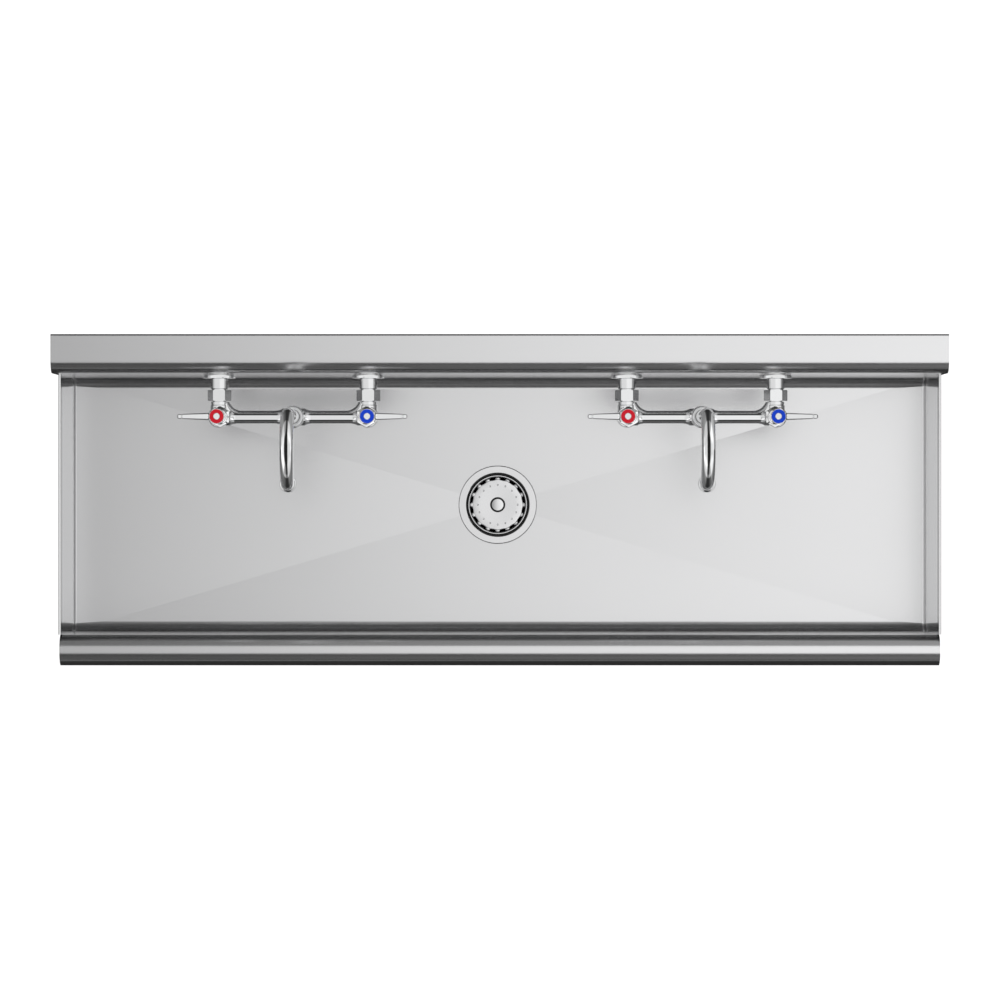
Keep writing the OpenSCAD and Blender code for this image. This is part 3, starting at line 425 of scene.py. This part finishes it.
def basketPlate(place, finish):
    top, foot, plateR, dished = (basket[key] for key in ("plateTop", "plateFoot", "plateR", "dish"))

    def scalloped(angle, radius, height):
        wave = basket["scallop"] * math.cos(basket["ribs"] * (angle - basket["firstAngle"]))
        return (radius + wave if radius > plateR - basket["scallopWide"] else radius), height

    flatR = basket["dimpleRing"] - basket["dimpleR"] - basket["dimpleClear"]
    bm = bmesh.new()
    addRings(bm, turnedRings(
        [(onAxis, foot)] + [(plateR - inset, foot + lift) for inset, lift in basket["footEdge"]]
        + [(plateR - inset, top - drop) for inset, drop in basket["topEdge"]]
        + [(flatR, top), (basket["dishR"], top - dished), (onAxis, top - dished)],
        basket["steps"], scalloped), place)
    plate = newPiece("basketPlate", bm, finish)

    geo = GeoTree("dimpledPlate", {"Count": "Int", "Centre": "Vector", "First angle": "Float",
                                   "Ring": "Float", "Ball": "Float", "Lift": "Float", "Finish": "Material"})
    ball = geo.node("GeometryNodeMeshUVSphere", {}, {
        "Segments": basket["dimpleSides"], "Rings": basket["dimpleRings"], "Radius": geo.given["Ball"]})
    offset = geo.node("ShaderNodeCombineXYZ", {}, {"X": geo.given["Ring"], "Z": geo.given["Lift"]})
    balls = geo.node("GeometryNodeRealizeInstances", {}, {"Geometry": geo.ringOf(geo.moved(ball, offset))})
    geo.finish(geo.node("GeometryNodeMeshBoolean", {"operation": "DIFFERENCE"}, {
        "Mesh 1": geo.given["Geometry"], "Mesh 2": geo.moved(balls, geo.given["Centre"])}))
    return grown("basketPlate", plate, geo, {
        "Count": basket["ribs"], "Centre": place.translation[:], "First angle": basket["firstAngle"],
        "Ring": basket["dimpleRing"], "Ball": basket["dimpleR"],
        "Lift": top + basket["dimpleR"] - basket["dimpleDepth"], "Finish": finish})


def basketRim(place, finish):  # the rim with its wall, and the post under the plate
    rimR, rimIn, rimTop, wallFoot = (basket[key] for key in ("rimR", "rimIn", "rimTop", "wallFoot"))
    wallR = rimIn + basket["wallThick"]
    bm = bmesh.new()
    addRings(bm, turnedRings(
        [(rimIn, wallFoot)] + [(rimIn + inset, rimTop - drop) for inset, drop in basket["rimEdge"]]
        + [(rimR - inset, rimTop - drop) for inset, drop in reversed(basket["rimEdge"])]
        + [(rimR, basket["rimFoot"]), (wallR, basket["rimFoot"]), (wallR, wallFoot)],
        basket["steps"]), place, loop=True)
    postTop = basket["plateFoot"] + basket["postIntoPlate"]
    addRings(bm, turnedRings([(basket["postR"], basket["postFoot"]), (basket["postR"], postTop)],
                             basket["postSteps"]), place)
    return newPiece("basketRim", bm, finish)


def basketRibs(place, finish):
    path, steps = basket["ribPath"], basket["ribSteps"]
    rings = []
    for i, (radius, height, share) in enumerate(path):
        before, after = path[max(i - 1, 0)], path[min(i + 1, len(path) - 1)]
        slope = math.atan2(after[1] - before[1], after[0] - before[0])
        ring = []
        for k in range(steps + 1):
            turn = math.pi * k / steps
            side = math.cos(turn) * basket["ribWide"] / 2 * share
            lift = math.sin(turn) * basket["ribTall"] - basket["ribSunk"]
            ring.append(Vector((radius - math.sin(slope) * lift, side, height + math.cos(slope) * lift)))
        rings.append(ring)
    bm = bmesh.new()
    addRings(bm, rings, Matrix.Identity(4))
    rib = newPiece("basketRib", bm, finish, smoothUnder=50)

    geo = GeoTree("ringOfRibs", {"Count": "Int", "Centre": "Vector", "First angle": "Float",
                                 "Finish": "Material"})
    geo.finish(geo.moved(geo.ringOf(geo.given["Geometry"]), geo.given["Centre"]))
    return grown("basketRibs", rib, geo, {
        "Count": basket["ribs"], "Centre": place.translation[:], "First angle": basket["firstAngle"],
        "Finish": finish})


def makeBasket():
    place, finish = Matrix.Translation(topCentre("drain_body")), finishes["polished_stainless"]
    whole = joinInto(basketPlate(place, finish), [basketRim(place, finish), basketRibs(place, finish)])
    whole.name = "liftOutBasket"
    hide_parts("strainer_basket")
    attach(whole, "strainer")
    return whole


basketPiece = makeBasket()
print("basket made")


# wall flanges with a stepped back and a rounded rim
flange = {"radius": 0.0219, "stepR": 0.0138, "step": 0.0012, "thick": 0.0063, "round": 0.0004, "bore": 0.0108,
          "steps": 120}


def makeFlanges(side):
    low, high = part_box("wall_flanges_" + side)
    bore, r, step, thick, soft = (flange[key] for key in ("bore", "radius", "step", "thick", "round"))
    half = (high[2] - low[2]) / 2
    bend = 0.3 * soft  # how far the middle of the rounding stands in from the corner
    bm = bmesh.new()
    for x in (low[0] + half, high[0] - half):
        place = (Matrix.Translation((x, high[1], (low[2] + high[2]) / 2))
                 @ Matrix.Rotation(math.pi / 2, 4, "X"))
        addRings(bm, turnedRings([
            (bore, 0), (flange["stepR"], 0), (flange["stepR"], step),
            (r - soft, step), (r - bend, step + bend), (r, step + soft),
            (r, thick - soft), (r - bend, thick - bend), (r - soft, thick), (bore, thick)
        ], flange["steps"]), place, loop=True)
    piece = newPiece("wallFlanges_" + side, bm, ownFinish["wall_flanges"])
    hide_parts("wall_flanges_" + side)
    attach(piece, "sink")
    return piece


# bonnets: a hexagon whose top slopes away from a stepped neck; the slope is in degrees
bonnet = {"flats": 0.026, "hexHigh": 0.010, "slope": 23, "blunt": 0.0004, "chamfer": 0.0006,
          "topEdge": 0.0004, "faceShare": 0.8, "neckR": 0.0105, "neckHigh": 0.009,
          "neckEdge": (0.0004, 0.0012), "groove": 0.0006, "grooveAt": (0.0012, 0.0026, 0.0036),
          "socketDeep": 0.012, "socketR": 0.0079, "bore": 0.004, "steps": 120}


def hexagonal(angle, radius, height):  # makes the rings outside the neck hexagonal, and slopes the upper ones
    if radius < bonnet["neckR"] + tinyLength:
        return radius, height
    fromFlat = (angle + math.pi / 6) % (math.pi / 3) - math.pi / 6
    cornerR = bonnet["flats"] / 2 / math.cos(math.pi / 6)
    edge = min(bonnet["flats"] / 2 / math.cos(fromFlat), cornerR - bonnet["blunt"])
    if radius < cornerR:
        edge -= bonnet["chamfer"]
    if height > bonnet["hexHigh"] / 2:
        height -= (edge - bonnet["neckR"]) * math.tan(math.radians(bonnet["slope"]))
    return edge, height


def makeBonnets(side):
    low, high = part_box("bonnets_" + side)
    neckR, bore, hexTop = bonnet["neckR"], bonnet["bore"], bonnet["hexHigh"]
    neckTop = hexTop + bonnet["neckHigh"]
    cornerR = bonnet["flats"] / 2 / math.cos(math.pi / 6)
    faceR = bonnet["faceShare"] * cornerR
    grooveR = neckR - bonnet["groove"]
    grooveFoot, grooveTop, grooveEnd = (hexTop + lift for lift in bonnet["grooveAt"])
    edgeNear, edgeFar = bonnet["neckEdge"]
    bm = bmesh.new()
    for x in (low[0] + cornerR, high[0] - cornerR):
        place = Matrix.Translation((x, (low[1] + high[1]) / 2, high[2] - bonnet["neckHigh"] - hexTop))
        addRings(bm, turnedRings([
            (bore, -bonnet["socketDeep"]), (bonnet["socketR"], -bonnet["socketDeep"]), (bonnet["socketR"], 0),
            (faceR, 0), (cornerR, bonnet["chamfer"]), (cornerR, hexTop - bonnet["topEdge"]), (faceR, hexTop),
            (neckR, hexTop), (grooveR, grooveFoot), (grooveR, grooveTop), (neckR, grooveEnd),
            (neckR, neckTop - edgeFar), (neckR - edgeNear, neckTop - edgeNear), (neckR - edgeFar, neckTop),
            (bore, neckTop)
        ], bonnet["steps"], hexagonal), place, loop=True)
    piece = newPiece("bonnets_" + side + "_trim", bm, finishes["chrome_plate"], smoothUnder=20)
    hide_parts("bonnets_" + side)
    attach(piece, "sink")
    return piece


# aerators: a cup with a rounded shoulder, a thin groove and a screen set back in its mouth
aerator = {"shoulder": 0.0024, "shoulderSteps": 8, "groove": 0.0004, "grooveLow": 0.0052,
           "grooveHigh": 0.0062, "grooveSlope": 0.0003, "chamfer": 0.0007, "lip": 0.0019,
           "screenDeep": 0.0016, "screenThick": 0.0004, "bore": 0.0093, "steps": 96, "screenSteps": 64}


def makeAerator(side):
    low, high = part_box("aerator_" + side)
    radius, tall, soft = (high[0] - low[0]) / 2, high[2] - low[2], aerator["shoulder"]
    place = Matrix.Translation(((low[0] + high[0]) / 2, (low[1] + high[1]) / 2, low[2]))
    deep, mouthR, grooveR = aerator["screenDeep"], radius - aerator["lip"], radius - aerator["groove"]
    slope = aerator["grooveSlope"]
    profile = [(mouthR, deep), (mouthR, 0), (radius - aerator["chamfer"], 0), (radius, aerator["chamfer"]),
               (radius, aerator["grooveLow"]), (grooveR, aerator["grooveLow"] + slope),
               (grooveR, aerator["grooveHigh"] - slope), (radius, aerator["grooveHigh"])]
    for step in range(aerator["shoulderSteps"] + 1):
        turn = math.pi / 2 * step / aerator["shoulderSteps"]
        profile.append((radius - soft + soft * math.cos(turn), tall - soft + soft * math.sin(turn)))
    profile += [(aerator["bore"], tall), (aerator["bore"], deep)]
    cup = bmesh.new()
    addRings(cup, turnedRings(profile, aerator["steps"]), place, loop=True)
    piece = newPiece("aeratorCup_" + side, cup, finishes["chrome_plate"])
    screenTop = deep + aerator["screenThick"]
    screen = bmesh.new()
    addRings(screen, turnedRings([(onAxis, deep), (mouthR, deep), (mouthR, screenTop), (onAxis, screenTop)],
                                 aerator["screenSteps"]), place)
    piece = joinInto(piece, [newPiece("aeratorScreen", screen, finishes["chrome_plate"])])
    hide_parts("aerator_" + side)
    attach(piece, "spout_" + side)
    return piece


aerators = {side: makeAerator(side) for side in ("left", "right")}
flanges, bonnets = [], []
for side in ("left", "right"):
    flanges.append(makeFlanges(side))
    bonnets.append(makeBonnets(side))
print("faucet trim made")


# the weld seam at the foot of each end panel, its dark tone partly the weld's own colour and partly painted
# shade in the corner, and the flat strip ground beside it, the right one brighter by a painted highlight
weld = {
    "left": {"panelX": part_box("end_panel_left")[1][0], "inward": 1, "seam": 0.0001, "radius": 0.0008,
             "strip": 0.0017, "stripHalf": 0.0009,
             "stripFinish": polishedMetal("groundStripLeft", (0.66, 0.66, 0.665), 0.22, 0.06)},
    "right": {"panelX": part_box("end_panel_right")[0][0], "inward": -1, "seam": 0.0002, "radius": 0.0005,
              "strip": 0.0025, "stripHalf": 0.0011,
              # painted highlight: the right strip's tone is raised above the sheet's
              "stripFinish": polishedMetal("groundStripRightHighlight", (0.92, 0.92, 0.925), 0.22, 0.06)},
    # the seam's dark tone: partly the weld's own colour, partly painted shade in the corner
    "finish": polishedMetal("weldSeamAndShade", (0.4, 0.4, 0.405), 0.3, 0.1),
    "points": 160, "sides": 10, "endGap": 0.002, "rayStart": 0.004, "leastFacing": 0.05,
    "crown": 0.00022, "crownSteps": 8, "stripDeep": 0.0002,
}


def seamPoints(x):  # the top of the sheet just inside an end panel, found by dropping rays on it
    low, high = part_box("end_panel_left")
    back, front = high[1] - weld["endGap"], low[1] + weld["endGap"]
    points = []
    for i in range(weld["points"]):
        start = Vector((x, back + (front - back) * i / (weld["points"] - 1), high[2] - weld["rayStart"]))
        hit, spot, normal, index = nodes["trough_pan"].ray_cast(start, Vector((0, 0, -1)))
        if hit and normal.z > weld["leastFacing"]:
            points.append((spot, normal))
    return points


def makeBead(name, x, radius, finish):
    path = [tuple(spot) for spot, normal in seamPoints(x)]
    mesh = bpy.data.meshes.new("seamPath")
    mesh.from_pydata(path, [(i, i + 1) for i in range(len(path) - 1)], [])
    geo = GeoTree("weldBead", {"Radius": "Float", "Sides": "Int", "Finish": "Material"})
    curve = geo.node("GeometryNodeMeshToCurve", {}, {"Mesh": geo.given["Geometry"]})
    around = geo.node("GeometryNodeCurvePrimitiveCircle", {}, {
        "Resolution": geo.given["Sides"], "Radius": geo.given["Radius"]})
    tube = geo.node("GeometryNodeCurveToMesh", {}, {
        "Curve": curve, "Profile Curve": around, "Fill Caps": True})
    geo.finish(geo.node("GeometryNodeSetShadeSmooth", {}, {"Geometry": tube}))
    return grown(name, newObject("seamPath", mesh), geo, {
        "Radius": radius, "Sides": weld["sides"], "Finish": finish})


def makeStrip(name, x, half, finish):  # a flat band, slightly crowned, that follows the floor
    rings = []
    for spot, normal in seamPoints(x):
        ring = []
        for i in range(weld["crownSteps"] + 1):
            across = 2 * i / weld["crownSteps"] - 1
            ring.append(spot + Vector((across * half, 0, 0)) + normal * weld["crown"] * (1 - across * across))
        ring += [spot - normal * weld["stripDeep"] + Vector((end * half, 0, 0)) for end in (1, -1)]
        rings.append(ring)
    bm = bmesh.new()
    addRings(bm, rings, Matrix.Identity(4))
    return newPiece(name, bm, finish, smoothUnder=60)


def makeSeam(side):
    at = weld[side]
    seamX, stripX = (at["panelX"] + at["inward"] * at[key] for key in ("seam", "strip"))
    seam = makeBead("floorSeam_" + side, seamX, at["radius"], weld["finish"])
    ground = makeStrip("groundStrip_" + side, stripX, at["stripHalf"], at["stripFinish"])
    for piece in (seam, ground):
        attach(piece, "sink")
    return [seam, ground]


seams = makeSeam("left") + makeSeam("right")
print("seams made")


# the camera looks straight down, as in a catalogue's plan view
camera = {"x": 0.0003, "y": -0.2251, "height": 6.221, "lens": 164.57, "sensor": 36.0, "clipEnd": 40.0}
cameraData = bpy.data.cameras.new("planCamera")
cameraData.lens = camera["lens"]
cameraData.sensor_width = camera["sensor"]
cameraData.clip_end = camera["clipEnd"]
cameraObject = newObject("planCamera", cameraData)
cameraObject.location = (camera["x"], camera["y"], camera["height"])
bpy.context.scene.camera = cameraObject
print("camera placed")


studio = {"floorZ": -0.86, "floorHalf": 12.0, "floorTone": 0.5, "floorGlow": 0.9, "lightHeight": 3.4,
          "lightHalf": (9.0, 12.0), "wallHalf": 8.0, "background": 0.95}

# how bright each ceiling light is along X, left to right, and along Y, front to back
sheetLight = {"alongX": [(-9, 0.65), (-1.08, 0.5), (-0.5, 0.8), (0.0, 1.03), (0.43, 1.14), (1.08, 1.26),
                         (3.5, 1.1), (6.0, 0.37), (9, 0.37)],
              "alongY": [(-12, 0.11), (-5.0, 0.12), (-4.0, 0.08), (-2.14, 0.08), (-2.12, 1.0), (1.66, 1.0),
                         (1.68, 0.3), (12, 0.3)]}
faucetLight = {"alongX": [(-9, 0.75), (-0.6, 0.8), (0.6, 0.965), (3.5, 0.95), (9, 0.8)],
               "alongY": [(-4.12, 0.0), (-4.1, 1.0), (1.9, 1.0), (1.92, 0.04), (12, 0.04)]}
handleLight = {"height": 0.6, "alongY": [(-12, 0.95), (12, 0.95)],
               "alongX": [(-9, 0.1), (-1.05, 0.1), (-1.0, 0.92), (1.0, 0.92), (1.05, 0.1), (9, 0.1)]}
flangeLight = {"height": 0.6, "alongY": [(-12, 0.95), (12, 0.95)],
               "alongX": [(-9, 0.12), (-1.9, 0.12), (-1.8, 0.92), (1.8, 0.92), (1.9, 0.12), (9, 0.12)]}
# each spout stands between two bright walls with a dark gap over it: how far the gap opens to the left and
# right, and how bright each wall is round the spout, in degrees from above to the back (-) or the front (+)
spoutWalls = {
    "left": {"gap": (0.73, 0.4),
             "left": [(-125, 0.15), (-88, 0.22), (-60, 0.3), (-40, 0.5), (-22, 0.95), (60, 0.95), (75, 0.45),
                      (84, 0.2), (110, 0.06), (135, 0.0)],
             "right": [(-125, 0.2), (-94, 0.28), (-72, 0.34), (-52, 0.55), (-36, 0.82), (15, 0.8), (41, 0.5),
                       (70, 0.3), (98, 0.12), (135, 0.0)]},
    "right": {"gap": (0.4, 0.62),
              "left": [(-125, 0.12), (-90, 0.25), (-58, 0.26), (-36, 0.42), (-14, 0.8), (50, 0.85),
                       (66, 0.42), (94, 0.18), (108, 0.08), (135, 0.0)],
              "right": [(-135, 0.25), (-110, 0.4), (-80, 0.6), (-60, 0.82), (0, 0.8), (41, 0.68), (84, 0.5),
                        (98, 0.25), (112, 0.1), (135, 0.0)]},
}


def levelRamp(tree, place, low, high, levels):
    stops = [((at - low) / (high - low), level) for at, level in levels]
    return tree.node("ShaderNodeValToRGB", {"stops": stops}, {0: tree.between(place, low, high)})


def newLight(name, pieces, place, size, turn=0.0):  # shines only on these pieces; gives its tree, X and Y
    lamp = bpy.data.lights.new(name, "AREA")
    lamp.shape = "RECTANGLE"
    lamp.size, lamp.size_y = size
    lamp.energy = math.pi * size[0] * size[1]
    lamp.use_nodes = True
    obj = newObject(name, lamp)
    obj.location = place
    obj.rotation_euler = (0, turn, 0)
    obj.visible_camera = False
    group = bpy.data.collections.new(name)
    for piece in pieces:
        group.objects.link(piece)
    obj.light_linking.receiver_collection = group
    tree = Tree(lamp.node_tree)
    return tree, *tree.parts(tree.coords())[:2]


def finishLight(tree, colour):
    glow = tree.node("ShaderNodeEmission", {}, {"Color": colour})
    tree.node("ShaderNodeOutputLight", {}, {"Surface": glow})


def ceilingLight(name, light, pieces):
    halfX, halfY = studio["lightHalf"]
    height = light.get("height", studio["lightHeight"])
    tree, x, y = newLight(name, pieces, (0, 0, height), (2 * halfX, 2 * halfY))
    finishLight(tree, tree.mixColour(1.0, levelRamp(tree, x, -halfX, halfX, light["alongX"]),
                                     levelRamp(tree, y, -halfY, halfY, light["alongY"]), "MULTIPLY"))


def wallLight(name, levels, pieces, centre, side, gap):  # side is -1 for a wall on the left, 1 on the right
    half = studio["wallHalf"]
    place = (centre[0] + side * gap * half, centre[1], centre[2])
    tree, up, back = newLight(name, pieces, place, (2 * half, 2 * half), side * math.pi / 2)
    angle = tree.maths("ARCTAN2", back * -1.0, up * -side)
    finishLight(tree, levelRamp(tree, angle * (180 / math.pi), -180, 180, levels))


def makeFloor():
    half, z, tone = studio["floorHalf"], studio["floorZ"], studio["floorTone"]
    mesh = bpy.data.meshes.new("paleFloor")
    mesh.from_pydata([(-half, -half, z), (half, -half, z), (half, half, z), (-half, half, z)],
                     [], [(0, 1, 2, 3)])
    floor = newObject("paleFloor", mesh)
    floor.visible_glossy = False
    material, tree = newMaterial("paleFloor")
    matt = tree.node("ShaderNodeBsdfDiffuse", {}, {"Color": (tone, tone, tone, 1)})
    glow = tree.node("ShaderNodeEmission", {}, {"Color": (1, 1, 1, 1), "Strength": studio["floorGlow"]})
    both = tree.node("ShaderNodeAddShader", {}, {0: matt, 1: glow})
    tree.node("ShaderNodeOutputMaterial", {}, {"Surface": both})
    mesh.materials.append(material)
    return floor


floor = makeFloor()
faucetSlots = ("chrome_plate", "index_red", "index_blue")
handleWords = ("handle", "index", "screw")
spouts = {"left": nodes["spout_left"], "right": nodes["spout_right"]}
handles = [obj for name, obj in nodes.items() if any(word in name for word in handleWords)]
apart = handles + list(spouts.values())  # these have lights of their own
faucets = [obj for name, obj in nodes.items() if slotOf[name] in faucetSlots and obj not in apart]
others = [obj for obj in nodes.values() if obj not in faucets + apart]
ceilingLight("sheetLight", sheetLight, others + seams + [floor, basketPiece])
ceilingLight("faucetLight", faucetLight, faucets + bonnets)
ceilingLight("handleLight", handleLight, handles)
ceilingLight("flangeLight", flangeLight, flanges)
for side, walls in spoutWalls.items():
    for wall, way in (("left", -1), ("right", 1)):
        wallLight("spoutWall_%s_%s" % (side, wall), walls[wall], [spouts[side], aerators[side]],
                  topCentre("spout_" + side), way, walls["gap"][way > 0])

# brightness of each part of the sky, and where it starts and ends, as parts of the view direction
sky = {"above": 0.02, "below": 0.03, "horizon": (-0.04, 0.02),
       "belowSides": 0.1, "belowSidesFrom": (0.15, 0.4), "left": 0.5, "right": 0.3, "sidesFrom": (0.91, 0.95),
       "frontLine": 0.15, "frontLineFrom": (0.85, 0.9), "frontLineTop": (0.25, 0.2),
       "corners": 0.42, "cornersFrom": (0.14, 0.3), "cornersTop": (0.85, 0.65), "upperHalf": (-0.02, 0.06)}


def makeWorld():
    world = bpy.data.worlds.new("studio")
    bpy.context.scene.world = world
    world.use_nodes = True
    tree = Tree(world.node_tree)
    toX, toY, toZ = tree.parts(tree.coords("Generated"))
    leftSide = tree.between(toX * -1.0, *sky["sidesFrom"], 0.0, sky["left"])
    rightSide = tree.between(toX, *sky["sidesFrom"], 0.0, sky["right"])
    frontLine = (tree.between(toY * -1.0, *sky["frontLineFrom"], 0.0, sky["frontLine"])
                 * tree.between(toZ, *sky["frontLineTop"]))
    corners = (tree.between(tree.maths("ABSOLUTE", toX * toY), *sky["cornersFrom"], 0.0, sky["corners"])
               * tree.between(toZ, *sky["cornersTop"]))
    belowSides = (tree.between(tree.maths("ABSOLUTE", toX), *sky["belowSidesFrom"], 0.0, sky["belowSides"])
                  * tree.between(toZ, *reversed(sky["horizon"])))
    base = tree.between(toZ, *sky["horizon"], sky["below"], sky["above"]) + belowSides
    glow = (leftSide + rightSide + frontLine + corners) * tree.between(toZ, *sky["upperHalf"]) + base
    pale = (studio["background"],) * 3 + (1,)
    cameraRay = tree.node("ShaderNodeLightPath", out="Is Camera Ray")
    back = tree.node("ShaderNodeBackground", {}, {
        "Color": tree.mixColour(cameraRay, glow, pale), "Strength": 1.0})
    tree.node("ShaderNodeOutputWorld", {}, {"Surface": back})


makeWorld()
bpy.context.scene.view_settings.view_transform = "Standard"
print("studio made")
